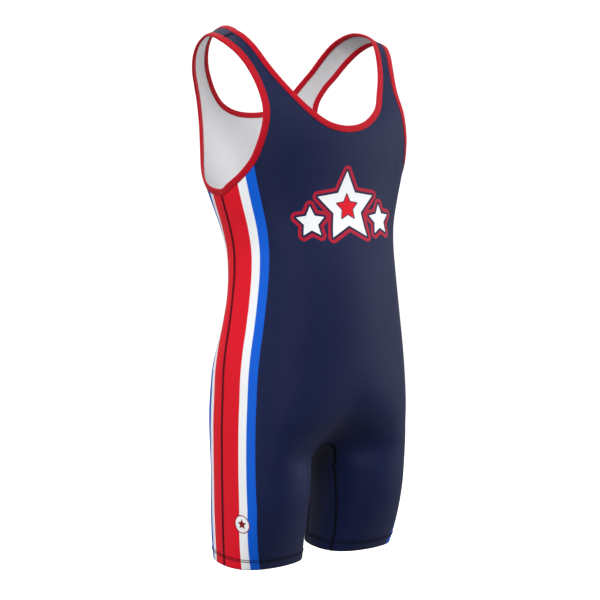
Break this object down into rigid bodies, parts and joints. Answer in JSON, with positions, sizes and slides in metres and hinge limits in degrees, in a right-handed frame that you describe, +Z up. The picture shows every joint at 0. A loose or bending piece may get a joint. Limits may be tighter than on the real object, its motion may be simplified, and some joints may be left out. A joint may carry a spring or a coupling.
{
  "type": "wrestling singlet",
  "caption": "Sleeveless one-piece stretch suit with a scoop neck, wide armholes and thigh-length legs, held in the hollow shape it takes when worn.",
  "frame": {"origin": "midway between the two shoulder straps, at the height of their crests, where a wearer's shoulders hold the suit", "axes": "+Z up along the body, -Y out of the chest, +X towards the wearer's left"},
  "size_m": [0.3306, 0.2955, 0.8362],
  "materials": {
    "suit_cloth": "smooth stretch knit with a soft sheen, navy outside with printed side bands, pale inside",
    "binding_cloth": "folded red stretch binding, matt with a soft sheen"
  },
  "bodies": {
    "root": {"front_panel": "suit_cloth", "back_panel": "suit_cloth", "gusset": "suit_cloth", "neck_binding": "binding_cloth", "armhole_binding_left": "binding_cloth", "armhole_binding_right": "binding_cloth"}
  },
  "joints": []
}
